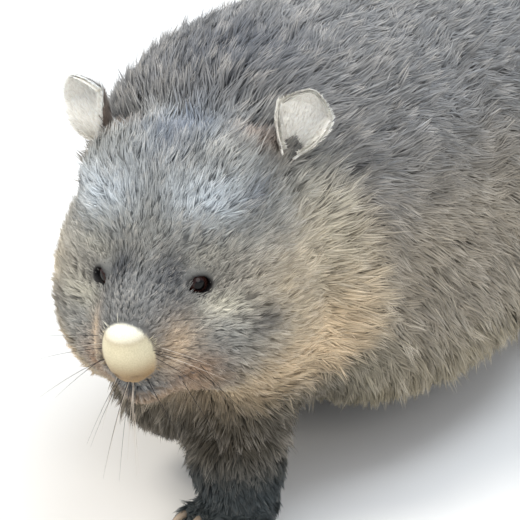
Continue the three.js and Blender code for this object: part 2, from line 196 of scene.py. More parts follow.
# The whole body's surface, out to the tips of the coat, as the part's solids have it.
def bodyField(p):
    d = unionOf(trunkParts, p)
    front = p[:, 1] < fieldReach["headBack"]
    d[front] = smoothUnion(d[front], headField(p[front]), blends["head"])
    for name, chain in legs.items():
        low = np.min([np.array(c[:3]) - c[3] for c in chain], axis=0) - fieldReach["leg"]
        high = np.max([np.array(c[:3]) + c[3] for c in chain], axis=0) + fieldReach["leg"]
        near = ((p > low) & (p < high)).all(axis=1)
        d[near] = smoothUnion(d[near], legField(name, p[near]), blends["leg"])
    back = p[:, 1] > fieldReach["tailFront"]
    bone = roundCone(p[back], tail["start"], tail["end"], *tail["radii"])
    d[back] = smoothUnion(d[back], bone, tail["blend"])
    return np.maximum(d, -p[:, 2])


depths = dict(
    head=dict(least=1.0, more=8.0, over=(-92, 70)),
    body=dict(least=4.5, more=5.5, over=(70, 170)),
    feet=dict(least=1.2, more=9.0, over=(26, 110)),
    headBack=-200,
)


# A depth that grows from its least by a ramp over a range of places.
def depthOver(name, x):
    return depths[name]["least"] + depths[name]["more"] * ramp(x, *depths[name]["over"])


# How deep the skin lies under the coat's surface: the least of the depths for the head, from the nose back,
# for the body, from the legs up, and for the feet.
def coatDepth(p):
    onHead = depthOver("head", intoHead(p)[:, 1])
    onBody = depthOver("body", p[:, 2])
    depth = np.where(p[:, 1] < depths["headBack"], np.minimum(onBody, onHead), onBody)
    return np.minimum(depth, depthOver("feet", p[:, 2]))


# An eye's middle and axes. Its middle lies on the line of its gaze, the lid's radius below the coat's surface
# less the height that it stands proud. The surface is found by steps of 0.8 of the distance left.
def eyeFrame(side):
    yaw, lift = math.radians(eye["yaw"]), math.radians(eye["lift"])
    gaze = unit(np.array([side * math.sin(yaw), -math.cos(yaw), math.sin(lift)]))
    point = np.array([side * eye["at"][0], eye["at"][1], eye["at"][2]], float)
    for _ in range(eye["steps"]):
        point = point - gaze * headField(outOfHead(point)[None])[0] * 0.8
    middle = point + gaze * (eye["proud"] - eye["lid"])
    ahead = headTurn @ gaze
    across = unit(np.cross(ahead, headTurn[:, 2]))
    return dict(middle=outOfHead(middle), ahead=ahead, across=across, up=np.cross(across, ahead), side=side)


eyes = [eyeFrame(1), eyeFrame(-1)]
boxLow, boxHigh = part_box("eye_left")
shift = np.array((boxLow + boxHigh) / 2) * 1000 - eyes[0]["middle"]


# Millimetres in the animal's frame to metres in the part's.
def toFrame(p):
    return (np.asarray(p) + shift) / 1000


lids = dict(radius=12.6, blend=7, halfWidth=9.4, halfHeight=7.6, soft=1.4, slant=8, reach=34)
nostrils = dict(at=(9.0, -136, -43), radii=(4.6, 9, 3.0), soft=2.5, turn=28)
nosePad = dict(at=(0, -127, -27), radii=(25, 17, 29), edge=(1.0, 1.1))
mouth = dict(z=-56, y=-78, slope=7, half=0.8, depth=6.5, soft=2.6, back=-64)
cleft = dict(half=0.5, depth=2.5, gap=1, top=-46, back=-100, soft=2.0)
muzzleBox = dict(back=-30, side=60, low=-100, high=0)


# The lids' opening is where two discs cross, in the plane square to the gaze.
def lidOpening(p, frameOf):
    q = p - frameOf["middle"]
    a, b, g = q @ frameOf["across"], q @ frameOf["up"], q @ frameOf["ahead"]
    slant = math.radians(lids["slant"]) * frameOf["side"]
    a, b = a * math.cos(slant) + b * math.sin(slant), b * math.cos(slant) - a * math.sin(slant)
    w, h = lids["halfWidth"], lids["halfHeight"]
    disc = (w * w + h * h) / (2 * h)
    almond = np.maximum(np.hypot(a, b + disc - h), np.hypot(a, b - disc + h)) - disc
    return np.maximum(almond, -g)


# The skin's surface: the coat's, set in by the coat's depth, with a lid round each eyeball that is cut open,
# and with the nostrils, the groove of the mouth and the cleft of the lip cut in.
def skinField(p):
    d = bodyField(p) + coatDepth(p)
    for frameOf in eyes:
        near = np.linalg.norm(p - frameOf["middle"], axis=1) < lids["reach"]
        close = p[near]
        ball = np.linalg.norm(close - frameOf["middle"], axis=1) - lids["radius"]
        lid = smoothUnion(d[near], ball, lids["blend"])
        d[near] = smoothCut(lid, lidOpening(close, frameOf), lids["soft"])
    q = intoHead(p)
    face = (q[:, 1] < muzzleBox["back"]) & (np.abs(q[:, 0]) < muzzleBox["side"])
    face &= (q[:, 2] > muzzleBox["low"]) & (q[:, 2] < muzzleBox["high"])
    q = q[face]
    sub = d[face]
    for side in (1, -1):
        turn = side * math.radians(nostrils["turn"])
        r = q - (side * nostrils["at"][0], *nostrils["at"][1:])
        r = np.stack([r[:, 0] * math.cos(turn) - r[:, 2] * math.sin(turn), r[:, 1],
                      r[:, 2] * math.cos(turn) + r[:, 0] * math.sin(turn)], axis=1)
        sub = smoothCut(sub, ellipsoid(r, (0, 0, 0), nostrils["radii"]), nostrils["soft"])
    level = mouthLevel(q)
    groove = np.maximum(np.abs(level) - mouth["half"], -(sub + mouth["depth"]))
    groove = np.maximum(groove, q[:, 1] - mouth["back"])
    sub = smoothCut(sub, groove, mouth["soft"])
    slit = np.maximum(-(sub + cleft["depth"]), -(level + cleft["gap"]))
    slit = np.maximum(np.abs(q[:, 0]) - cleft["half"], slit)
    slit = np.maximum(slit, np.maximum(q[:, 2] - cleft["top"], q[:, 1] - cleft["back"]))
    d[face] = smoothCut(sub, slit, cleft["soft"])
    return d


# A field's value, its uphill direction and its steepness, from differences a small step apart.
def slopeOf(field, p, step=0.4):
    here = field(p)
    rise = np.stack([field(p + step * np.eye(3)[i]) - here for i in range(3)], axis=1)
    return here, unit(rise), np.linalg.norm(rise, axis=1) / step


# The zero level of a field over a grid whose lines may be unevenly spaced: one vertex in each cell that
# the surface crosses, at the mean of its crossings, and one quad round each grid edge that it crosses.
def surfaceNets(field, lines):
    n = np.array([len(line) for line in lines])
    grid = np.empty(n, np.float32)
    for i, x in enumerate(lines[0]):
        yy, zz = np.meshgrid(lines[1], lines[2], indexing="ij")
        grid[i] = field(np.stack([np.full_like(yy, x), yy, zz], -1).reshape(-1, 3)).reshape(yy.shape)
    inside = grid < 0
    corners = [(a, b, c) for a in (0, 1) for b in (0, 1) for c in (0, 1)]
    total = sum(inside[a:n[0] - 1 + a, b:n[1] - 1 + b, c:n[2] - 1 + c].astype(int) for a, b, c in corners)
    active = (total > 0) & (total < 8)
    index = np.full(n - 1, -1)
    index[active] = np.arange(active.sum())
    cells = np.argwhere(active)
    sums, counts = np.zeros((len(cells), 3)), np.zeros(len(cells))
    for corner in corners:
        for axis in range(3):
            if corner[axis]:
                continue
            a = cells + corner
            b = a + np.eye(3, dtype=int)[axis]
            va, vb = grid[tuple(a.T)], grid[tuple(b.T)]
            cross = (va < 0) != (vb < 0)
            t = np.where(cross, va / np.where(cross, va - vb, 1), 0)
            sums += np.where(cross[:, None], np.array(corner) + t[:, None] * np.eye(3)[axis], 0)
            counts += cross
    at = cells + sums / counts[:, None]
    verts = np.stack([np.interp(at[:, i], np.arange(n[i]), lines[i]) for i in range(3)], axis=1)
    quads = []
    for axis in range(3):
        u, v = np.eye(3, dtype=int)[(axis + 1) % 3], np.eye(3, dtype=int)[(axis + 2) % 3]
        low = [slice(0 if i == axis else 1, n[i] - 1) for i in range(3)]
        high = list(low)
        high[axis] = slice(1, n[axis])
        before, after = inside[tuple(low)], inside[tuple(high)]
        edges = np.argwhere(before != after)
        flip = after[tuple(edges.T)]
        base = edges + [0 if i == axis else 1 for i in range(3)]
        quad = np.stack([index[tuple(c.T)] for c in (base - u - v, base - v, base, base - u)], axis=1)
        quad[flip] = quad[flip][:, ::-1]
        quads.append(quad)
    return verts, np.concatenate(quads)


# Grid lines from low to high, at a spacing that changes at each stop.
def linesOf(low, *stops):
    line = [low]
    for end, cell in stops:
        count = max(1, round((end - line[-1]) / cell))
        line += list(np.linspace(line[-1], end, count + 1)[1:])
    return np.array(line, float)


# A new object with its data, at the origin.
def placed(name, data):
    made = bpy.data.objects.new(name, data)
    bpy.context.scene.collection.objects.link(made)
    return made


# A mesh object from arrays. Colours are linear, one to a vertex.
def meshFrom(name, verts, faces, colours=None, smooth=True):
    mesh = bpy.data.meshes.new(name)
    sides = faces.shape[1]
    mesh.vertices.add(len(verts))
    mesh.vertices.foreach_set("co", np.asarray(verts, np.float32).ravel())
    mesh.loops.add(faces.size)
    mesh.loops.foreach_set("vertex_index", faces.ravel().astype(np.int32))
    mesh.polygons.add(len(faces))
    mesh.polygons.foreach_set("loop_start", np.arange(0, faces.size, sides, dtype=np.int32))
    mesh.polygons.foreach_set("use_smooth", np.full(len(faces), smooth))
    mesh.update(calc_edges=True)
    if colours is not None:
        tint = mesh.attributes.new("tint", "FLOAT_COLOR", "POINT")
        rgba = np.concatenate([colours, np.ones((len(colours), 1))], axis=1)
        tint.data.foreach_set("color", rgba.astype(np.float32).ravel())
    return placed(name, mesh)


# Screen colours to linear ones.
def linear(*rgb):
    c = np.array(rgb, float)
    return np.where(c <= 0.04045, c / 12.92, ((c + 0.055) / 1.055) ** 2.4)


palette = dict(
    back=linear(0.47, 0.465, 0.455),
    nape=linear(0.34, 0.35, 0.37),
    flank=linear(0.56, 0.525, 0.465),
    belly=linear(0.56, 0.52, 0.43),
    rump=linear(0.46, 0.43, 0.40),
    chest=linear(0.50, 0.475, 0.41),
    temple=linear(0.54, 0.54, 0.52),
    # Painted highlight: the bluish-white shine of light across the brow.
    browHighlight=linear(0.78, 0.81, 0.83),
    # The crown's grey fur, tinted blue by a painted reflection of the sky.
    crownAndSkySheen=linear(0.39, 0.43, 0.49),
    cheek=linear(0.71, 0.655, 0.56),
    cheekLow=linear(0.79, 0.70, 0.57),
    bridge=linear(0.46, 0.46, 0.45),
    muzzle=linear(0.75, 0.66, 0.55),
    mouthSide=linear(0.58, 0.44, 0.31),
    # Painted highlight: the top of the nose pad made lighter where light falls on it from above.
    nose=linear(0.78, 0.74, 0.62),
    # The brown of the nose pad's lower part, also used for a painted shade line under the pad's shelf.
    noseTopHighlight=linear(0.90, 0.88, 0.80),
    noseLowAndShelfShade=linear(0.50, 0.39, 0.25),
    # Dark grey fur by the eyes, also used as painted shade in the mouth's groove and in the nostrils.
    eyePatchAndShade=linear(0.25, 0.26, 0.28),
    underEye=linear(0.79, 0.77, 0.70),
    earFront=linear(0.50, 0.40, 0.33),
    earInside=linear(0.98, 0.965, 0.93),
    chin=linear(0.56, 0.48, 0.40),
    leg=linear(0.32, 0.295, 0.25),
    foot=linear(0.21, 0.23, 0.23),
    lid=linear(0.08, 0.07, 0.07),
)


# Smooth noise from a few sines of mixed directions, between about -1 and 1.
def waves(p, size, seed):
    rng = np.random.default_rng(seed)
    total = np.zeros(len(p))
    for _ in range(7):
        way = rng.normal(size=3)
        way *= rng.uniform(0.6, 1.5) * 2 * math.pi / size / np.linalg.norm(way)
        total += np.sin(p @ way + rng.uniform(0, 6.3))
    return total / 3


# One colour turned into another: (1 - share) of the first and share of the second.
def mixed(colour, other, share):
    return colour * (1 - share[:, None]) + other * share[:, None]


# How far a place belongs to the head, fading out behind the ears and under the jowls.
def headShare(q):
    return ramp(q[:, 1], 98, 44) * ramp(q[:, 2], -150, -122)


# How far a place belongs to the nose pad: 1 inside its ellipsoid and 0 from a tenth of its radii outside it.
def noseShare(p):
    q = (intoHead(p) - np.array(nosePad["at"])) / nosePad["radii"]
    return 1 - ramp(np.linalg.norm(q, axis=1), *nosePad["edge"])


# The height above the line of the mouth.
def mouthLevel(q):
    slope = math.radians(mouth["slope"])
    return (q[:, 2] - mouth["z"]) * math.cos(slope) - (q[:, 1] - mouth["y"]) * math.sin(slope)


# The markings, with the painted highlights and painted shade among them, in the order in which they are laid
# on, with how much of the colour there is at most. A spot has its middle and radii, and both sides have it. A
# band has its middle and half width along one axis. A ramp runs along one axis, from 0 at its first value to 1
# at its second. The axes x, y and z are the head's, along and up are the animal's, and level is the height
# above the line of the mouth.
marks = dict(
    body=[
        dict(colour="nape", most=0.9, spot=((0, 140, 100), (70, 60, 60))),
        dict(colour="flank", ramps=[("up", 310, 190)]),
        dict(colour="rump", most=0.7, ramps=[("along", 120, 260)]),
        dict(colour="belly", ramps=[("up", 150, 60)]),
        dict(colour="chest", ramps=[("up", 175, 110), ("along", -170, -260)]),
    ],
    head=[
        dict(colour="cheek", ramps=[("z", 34, -24), ("y", -76, -20)]),
        dict(colour="underEye", most=0.55, spot=((114, 46, 0), (30, 30, 50))),
        dict(colour="cheekLow", most=0.8, ramps=[("z", -40, -92), ("y", -84, -50), ("y", 84, 30)]),
        # Painted highlight: a bluish-white pool of light across the brow.
        dict(colour="browHighlight", most=0.9, spot=((46, -32, 56), (36, 24, 18))),
        # The crown's grey fur with a painted blue sky reflection on it, in this spot and the next.
        dict(colour="crownAndSkySheen", most=0.9, spot=((0, 50, 84), (30, 66, 26))),
        dict(colour="crownAndSkySheen", most=0.5, spot=((66, -2, 46), (34, 16, 9))),
        dict(colour="bridge", ramps=[("y", -44, -84), ("x", 46, 30)]),
        dict(colour="muzzle", spot=((32, -104, -30), (15, 24, 20))),
        dict(colour="mouthSide", most=0.75, spot=((40, -92, -58), (20, 26, 14))),
        dict(colour="chin", ramps=[("z", -60, -72), ("y", -62, -84)]),
        dict(colour="eyePatchAndShade", most=0.95, spot=((23, -72, 15), (13, 18, 12))),
        dict(colour="eyePatchAndShade", most=0.5, spot=((46, -64, 3), (13, 13, 10))),
        dict(colour="eyePatchAndShade", most=0.6, spot=((87, -52, -36), (13, 16, 10))),
        dict(colour="underEye", most=0.85, spot=((54, -64, -18), (18, 16, 9))),
        dict(colour="underEye", most=0.45, spot=((52, -58, 20), (18, 16, 7))),
        dict(colour="earFront", most=0.8, spot=((64, 46, 74), (20, 20, 26))),
        # Painted shade along the groove of the mouth.
        dict(colour="eyePatchAndShade", band=("level", 0, 1.7), ramps=[("y", -60, -74), ("x", 44, 36)]),
    ],
    pad=[
        # Painted highlight on the top of the nose pad.
        dict(colour="noseTopHighlight", ramps=[("z", -14, -4)]),
        dict(colour="noseLowAndShelfShade", most=0.9, ramps=[("z", -19, -44)]),
        # Painted shade: a thin darker line under the shelf of the nose pad.
        dict(colour="noseLowAndShelfShade", most=0.3, band=("z", -11, 1.8)),
        # Painted shade inside the nostrils.
        dict(colour="eyePatchAndShade", most=0.85, spot=((9.5, -138, -43), (5.5, 9, 3.2))),
    ],
    legs=[
        dict(colour="leg", ramps=[("up", 150, 85), ("along", -220, -270)]),
        dict(colour="leg", ramps=[("up", 150, 85), ("along", 190, 240)]),
        dict(colour="foot", ramps=[("up", 80, 36)]),
    ],
)
mottling = [dict(most=0.07, size=60, seed=21), dict(most=0.05, size=26, seed=22)]


# A colour with a list of marks laid on. A mark's share is its most, times the bell curve of its spot or band,
# times its ramps.
def marked(colour, kind, axes):
    m = np.stack([axes["x"], axes["y"], axes["z"]], axis=1)
    for mark in marks[kind]:
        share = np.full(len(m), mark.get("most", 1.0))
        if "spot" in mark:
            at, radii = (np.array(v) for v in mark["spot"])
            share = share * np.exp(-np.sum(((m - at) / radii) ** 2, axis=1))
        if "band" in mark:
            axis, at, half = mark["band"]
            share = share * np.exp(-((axes[axis] - at) / half) ** 2)
        for axis, start, end in mark.get("ramps", []):
            share = share * ramp(axes[axis], start, end)
        colour = mixed(colour, palette[mark["colour"]], share)
    return colour


# The colours of the markings and of the painted highlights and shade, for skin and coat alike, from a place in
# the animal's frame: the head's over the body's, the nose pad's over the head's, the legs' over all, and then
# a faint mottling.
def markingsAndPaintedLight(p):
    q = intoHead(p)
    axes = dict(x=np.abs(q[:, 0]), y=q[:, 1], z=q[:, 2], along=p[:, 1], up=p[:, 2], level=mouthLevel(q))
    c = marked(palette["back"], "body", axes)
    c = mixed(c, marked(palette["temple"], "head", axes), headShare(q))
    c = mixed(c, marked(palette["nose"], "pad", axes), noseShare(p))
    c = marked(c, "legs", axes)
    return c * (1 + sum(m["most"] * waves(p, m["size"], m["seed"]) for m in mottling))[:, None]


# How near a place is to an eye: 1 up to 14 mm from its middle, 0 from 34 mm.
def eyeNearness(p):
    reach = np.min([np.linalg.norm(p - frameOf["middle"], axis=1) for frameOf in eyes], axis=0)
    return 1 - ramp(reach, 14, 34)


# Sets a node's inputs by their names.
def setInputs(node, values):
    for name, value in values.items():
        node.inputs[name].default_value = value


# A material whose colour is the piece's own tint times noise between 1 - spread and 1 + spread. The noise
# lies in the piece's own coordinates, which are the part's, and can raise the surface as a bump too.
def tintMaterial(name, roughness, grain, bump, spread=0.25, gloss=0.3):
    material = bpy.data.materials.new(name)
    material.use_nodes = True
    nodes, links = material.node_tree.nodes, material.node_tree.links
    shader = nodes["Principled BSDF"]
    setInputs(shader, {"Roughness": roughness, "Specular IOR Level": gloss})
    tint = nodes.new("ShaderNodeAttribute")
    tint.attribute_name = "tint"
    place = nodes.new("ShaderNodeTexCoord")
    noise = nodes.new("ShaderNodeTexNoise")
    setInputs(noise, {"Scale": grain, "Detail": 4})
    levels = nodes.new("ShaderNodeMapRange")
    setInputs(levels, {"To Min": 1 - spread, "To Max": 1 + spread})
    mix = nodes.new("ShaderNodeVectorMath")
    mix.operation = "SCALE"
    links.new(place.outputs["Object"], noise.inputs["Vector"])
    links.new(noise.outputs["Fac"], levels.inputs["Value"])
    links.new(tint.outputs["Color"], mix.inputs[0])
    links.new(levels.outputs["Result"], mix.inputs["Scale"])
    links.new(mix.outputs["Vector"], shader.inputs["Base Color"])
    if bump > 0:
        relief = nodes.new("ShaderNodeBump")
        setInputs(relief, {"Strength": bump, "Distance": 0.001})
        links.new(noise.outputs["Fac"], relief.inputs["Height"])
        links.new(relief.outputs["Normal"], shader.inputs["Normal"])
    return material


# Gives a piece its material and hides the nodes it replaces; the slot is not used. All ride on the one body.
def dress(piece, material, slot, *nodes):
    piece.data.materials.append(material)
    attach(piece, "root")
    if nodes:
        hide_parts(*nodes)
    return piece


skinSizes = dict(
    cells=dict(fine=2.4, mid=4.5, wide=6.5), quickScale=2.0,
    lines=[(-190, (-75, "wide"), (118, "fine"), (190, "wide")),
           (-500, (-330, "fine"), (-230, "mid"), (380, "wide")),
           (-8, (30, "mid"), (135, "mid"), (345, "fine"), (410, "wide"))],
    settles=2, mostShift=1.5, shade=0.62, padLighter=0.36, rimAbove=3.0, rimBelow=1.3, rimReach=18,
)


# The skin: the nets of its field on a grid that is finest at the face. Each vertex is then brought onto the
# surface by its distance over the field's steepness. The rims of the lids are dark.
def makeSkin():
    scale = 1
    cells = {kind: cell * scale for kind, cell in skinSizes["cells"].items()}
    lines = [linesOf(low, *((end, cells[kind]) for end, kind in stops)) for low, *stops in skinSizes["lines"]]
    verts, quads = surfaceNets(skinField, lines)
    most = skinSizes["mostShift"]
    for _ in range(skinSizes["settles"]):
        d, way, steep = slopeOf(skinField, verts, 0.2)
        verts = verts - way * np.clip(d / np.maximum(steep, 0.5), -most, most)[:, None]
    shade = skinSizes["shade"] + skinSizes["padLighter"] * noseShare(verts)
    colours = markingsAndPaintedLight(verts) * shade[:, None]
    for frameOf in eyes:
        away = verts - frameOf["middle"]
        band = np.where(away @ frameOf["up"] > 0, skinSizes["rimAbove"], skinSizes["rimBelow"])
        rim = np.exp(-(np.maximum(lidOpening(verts, frameOf), 0) / band) ** 2)
        rim *= np.linalg.norm(away, axis=1) < skinSizes["rimReach"]
        colours = mixed(colours, palette["lid"], rim)
    return verts, quads, colours


skinVerts, skinQuads, skinColours = makeSkin()
print("skin", len(skinVerts), "vertices")

fleshNodes = ["head", "nose", "neck", "torso", "tail"]
for end, foot in (("foreleg", "forepaw"), ("hindleg", "hindfoot")):
    for side in ("left", "right"):
        fleshNodes += [f"{end}_{side}", f"{foot}_{side}"]
skin = meshFrom("skin", toFrame(skinVerts), skinQuads, skinColours)
dress(skin, tintMaterial("skin", 0.65, 900, 0.5), "coat", *fleshNodes)

eyeLook = dict(
    rings=40, around=56, pupil=(23, 27), iris=(46, 54), rough=0.08, gloss=0.14, grain=2500, spread=0.2,
    wet=0.12, wetRough=0.03, irisDark=linear(0.10, 0.055, 0.05), irisLight=linear(0.20, 0.11, 0.09),
    pupilShade=linear(0.012, 0.010, 0.012), white=linear(0.05, 0.035, 0.03),
)


# The quads between closed rings of points: each point, the next one round, and those two in the next ring.
def ringFaces(rows, sides, first=0, flipped=False):
    i, j = np.meshgrid(np.arange(rows - 1), np.arange(sides), indexing="ij")
    a, b = first + i * sides + j, first + i * sides + (j + 1) % sides
    loop = (a, a + sides, b + sides, b) if flipped else (a, b, b + sides, a + sides)
    return np.stack(loop, axis=-1).reshape(-1, 4)


# An eyeball: rings about the gaze, at even angles from it. A dark pupil, a brown iris with streaks that are
# the product of two sines, and a near-black white of the eye.
def makeEye(frameOf, label):
    turn, lean = np.meshgrid(np.arange(eyeLook["around"]) * 2 * math.pi / eyeLook["around"],
                             np.linspace(0, math.pi, eyeLook["rings"]), indexing="xy")
    aside = np.cos(turn)[..., None] * frameOf["across"] + np.sin(turn)[..., None] * frameOf["up"]
    ways = np.cos(lean)[..., None] * frameOf["ahead"] + np.sin(lean)[..., None] * aside
    verts = (frameOf["middle"] + eye["radius"] * ways).reshape(-1, 3)
    faces = ringFaces(eyeLook["rings"], eyeLook["around"], flipped=True)
    degrees = np.degrees(lean).ravel()
    streak = 0.5 + 0.5 * np.sin(turn.ravel() * 23) * np.sin(turn.ravel() * 7 + 1)
    colours = mixed(eyeLook["irisDark"], eyeLook["irisLight"], streak)
    colours = mixed(colours, eyeLook["pupilShade"], 1 - ramp(degrees, *eyeLook["pupil"]))
    colours = mixed(colours, eyeLook["white"], ramp(degrees, *eyeLook["iris"]))
    ball = meshFrom(f"eyeball_{label}", toFrame(verts), faces, colours)
    material = tintMaterial(f"eye_{label}", eyeLook["rough"], eyeLook["grain"], 0, eyeLook["spread"],
                            gloss=eyeLook["gloss"])
    wet = {"Coat Weight": eyeLook["wet"], "Coat Roughness": eyeLook["wetRough"]}
    setInputs(material.node_tree.nodes["Principled BSDF"], wet)
    return dress(ball, material, "eye", f"eye_{label}")


makeEye(eyes[0], "left")
makeEye(eyes[1], "right")
print("eyes")

ear = dict(
    root=(84, 71, 60), length=60, width=45, yaw=16, splay=26, lean=4, rows=34, columns=27, wall=2.0,
    thinner=0.6, sink=0.22, swell=1.25, form=dict(start=0.2, bow=1.15, power=0.62, least=0.03),
    opening=(150, 58), openBy=1.5, sideRim=(0.8, 0.95), tipRim=(0.8, 0.93), lining=linear(0.95, 0.91, 0.86),
)


# The ear's middle surface, from its root (share 0) to its tip, with across from -1 to 1 round the scoop. Each
# level is an arc: its length goes with a power of a sine, and it opens out towards the tip.
def earSurface(side, share, across, away):
    form = ear["form"]
    wave = np.sin(math.pi * (form["start"] + (1 - form["start"]) * share ** form["bow"]))
    shape = np.maximum(wave, 0) ** form["power"]
    span = ear["width"] * np.maximum(shape, form["least"]) * ear["swell"]
    base, tip = ear["opening"]
    half = np.radians(base + (tip - base) * np.clip(share * ear["openBy"], 0, 1))
    radius = span / (2 * half)
    turn = across * half
    reach = radius + away
    local = np.stack([np.sin(turn) * reach, np.cos(turn) * reach - radius * 0.5,
                      ear["length"] * (share - ear["sink"])], -1)
    place = turned(side * ear["yaw"], 0) @ turned(0, 0, side * ear["splay"]) @ turned(0, ear["lean"])
    return outOfHead(local @ place.T + np.array([side * ear["root"][0], *ear["root"][1:]]))


# Half the thickness of an ear's wall, which thins evenly towards the tip.
def earWall(share):
    return ear["wall"] * (1 - ear["thinner"] * share) / 2


# An ear: the outer and the inner wall, joined round the rim.
def makeEar(side, label):
    rows, columns = ear["rows"], ear["columns"]
    count = 2 * columns
    share, across = np.meshgrid(np.linspace(0, 1, rows), np.linspace(-1, 1, columns), indexing="ij")
    outer = earSurface(side, share, across, earWall(share))
    inner = earSurface(side, share, across, -earWall(share))
    verts = np.concatenate([outer, inner[:, ::-1]], axis=1).reshape(-1, 3)
    faces = ringFaces(rows, count, flipped=True)
    k = np.arange(columns - 1)
    for row, order in ((0, 1), (rows - 1, -1)):
        cap = np.stack([k, k + 1, count - 2 - k, count - 1 - k], axis=1)[:, ::order] + row * count
        faces = np.concatenate([faces, cap])
    isInner = np.tile(np.arange(count) >= columns, rows)
    ringAcross = np.concatenate([across, across[:, ::-1]], axis=1).ravel()
    ringShare = np.concatenate([share, share], axis=1).ravel()
    nearRim = np.maximum(ramp(np.abs(ringAcross), *ear["sideRim"]), ramp(ringShare, *ear["tipRim"]))
    colours = np.where(isInner[:, None], ear["lining"], palette["flank"])
    colours = mixed(colours, palette["earInside"], nearRim)
    return dress(meshFrom(f"ear_skin_{label}", toFrame(verts), faces, colours),
                 tintMaterial(f"ear_{label}", 0.6, 700, 0.3), "pale_coat", f"ear_{label}")


makeEar(1, "left")
makeEar(-1, "right")

ribbonFaces = np.array([0, 1, 2, 0, 2, 3, 3, 2, 4])
ribbonPatch = np.array([[-1, -1], [1, -1], [0.8, 0.4], [-0.8, 0.4], [0, 1]]) * 0.0015


# Ribbons as one mesh. Each has five points, two at its root, two part of the way and one at its tip, and
# three triangles. In the map for baking, each has a small patch of its own shape at its centre's place.
def ribbonMesh(name, points, tints, centre):
    faces = (np.arange(len(centre))[:, None] * 5 + ribbonFaces).reshape(-1, 3)
    made = meshFrom(name, toFrame(points.reshape(-1, 3)), faces, tints.reshape(-1, 3))
    corner = (centre[:, None] + ribbonPatch).reshape(-1, 2)
    layer = made.data.uv_layers.new(name="OFBake")
    layer.data.foreach_set("uv", corner[faces.ravel()].astype(np.float32).ravel())
    return made


earHair = dict(
    count=9000, quickShare=3, inside=9.0, outside=10.0, width=0.85, lean=9, seed=31, step=0.02,
    inner=0.6, rim=0.3, rimTip=0.35, fan=0.3, rimFan=0.75, shorter=0.25, bow=0.06, behind=0.4,
    paleTip=(0.6, 0.9), paleMost=0.85, shades=(0.78, 0.78, 1, 1, 1.15), brightest=0.97,
)


# The hair of an ear: ribbons along it that fan out to its sides, white inside and at the rim, the body's
# colour behind. None grows at the very tip, where the ear has no way on for it to lie along.
def makeEarHair(side, label):
    draw = np.random.default_rng(earHair["seed"] + side)
    count = earHair["count"] // 1
    share = draw.uniform(0.10, 0.99, count)
    across = draw.uniform(-1, 1, count) * 0.99
    isInner = draw.random(count) < earHair["inner"]
    atRim = draw.random(count) < earHair["rim"]
    end = draw.random(count) < earHair["rimTip"]
    share = np.where(atRim & end, draw.uniform(0.9, 0.995, count), share)
    across = np.where(atRim & ~end, np.sign(across) * draw.uniform(0.93, 1.0, count), across)
    grows = share + earHair["step"] <= 1
    sign = np.where(isInner, -1.0, 1.0)
    away = sign * earWall(share)
    root = earSurface(side, share, across, away)
    along = unit(earSurface(side, share + earHair["step"], across, away) - root)
    out = unit((earSurface(side, share, across, away + 0.5) - root) * sign[:, None])
    cross = np.cross(out, along)
    swing = draw.normal(0, 0.25, count)
    outward = root - earSurface(side, share, across * 0.9, away)
    bias = np.sign(np.sum(outward * cross, axis=1)) * np.abs(across)
    swing = swing + bias * np.where(atRim & ~end, earHair["rimFan"], earHair["fan"])
    way = along * np.cos(swing)[:, None] + cross * np.sin(swing)[:, None]
    length = np.where(isInner, earHair["inside"], earHair["outside"]) * draw.uniform(0.6, 1.25, count)
    length = length * (1 - earHair["shorter"] * share)
    lean = np.radians(earHair["lean"]) * draw.uniform(0.4, 1.6, count)
    tip = root + (way * np.cos(lean)[:, None] + out * np.sin(lean)[:, None]) * length[:, None]
    middle = (root + tip) / 2 + out * (length * earHair["bow"])[:, None]
    wide = np.cross(out, way) * (earHair["width"] * draw.uniform(0.3, 0.6, count))[:, None]
    low = root - out * 0.2
    points = np.stack([low - wide, low + wide, middle + wide, middle - wide, tip], axis=1)
    behind = mixed(markingsAndPaintedLight(root), palette["earFront"], np.full(count, earHair["behind"]))
    pale = np.where(isInner[:, None], palette["earInside"], behind)
    pale = mixed(pale, palette["earInside"], ramp(share, *earHair["paleTip"]) * earHair["paleMost"])
    pale = np.where(atRim[:, None], palette["earInside"], pale)
    pale = pale * draw.uniform(0.82, 1.08, (count, 1))
    tints = np.minimum(pale[:, None] * np.array(earHair["shades"])[:, None], earHair["brightest"])
    centre = np.stack([(0.04 + 0.42 * (across + 1) / 2) + 0.5 * isInner, 0.04 + 0.92 * share], axis=1)
    made = ribbonMesh(f"ear_hair_{label}", points[grows], tints[grows], centre[grows])
    return dress(made, tintMaterial(f"ear_fur_{label}", 0.55, 60, 0, 0.1, gloss=0.25), "pale_coat")


makeEarHair(1, "left")
makeEarHair(-1, "right")
print("ears")

claws = dict(
    width=8.5, height=9.5, root=8, droop=28, sides=14, rows=16, ahead=0.7, up=1.5, fall=0.9, taper=0.55,
    tip=0.02, floor=0.3, dark=linear(0.20, 0.17, 0.15), light=linear(0.72, 0.64, 0.54),
)


# Rings of points round a path: its own points, plus the cosine of the turn times the half width across, plus
# the sine times the half height over.
def ringsAlong(path, turn, across, over, wide, tall):
    return (path[:, None] + across * (np.cos(turn)[None, :, None] * wide[:, None, None])
            + over * (np.sin(turn)[None, :, None] * tall[:, None, None]))


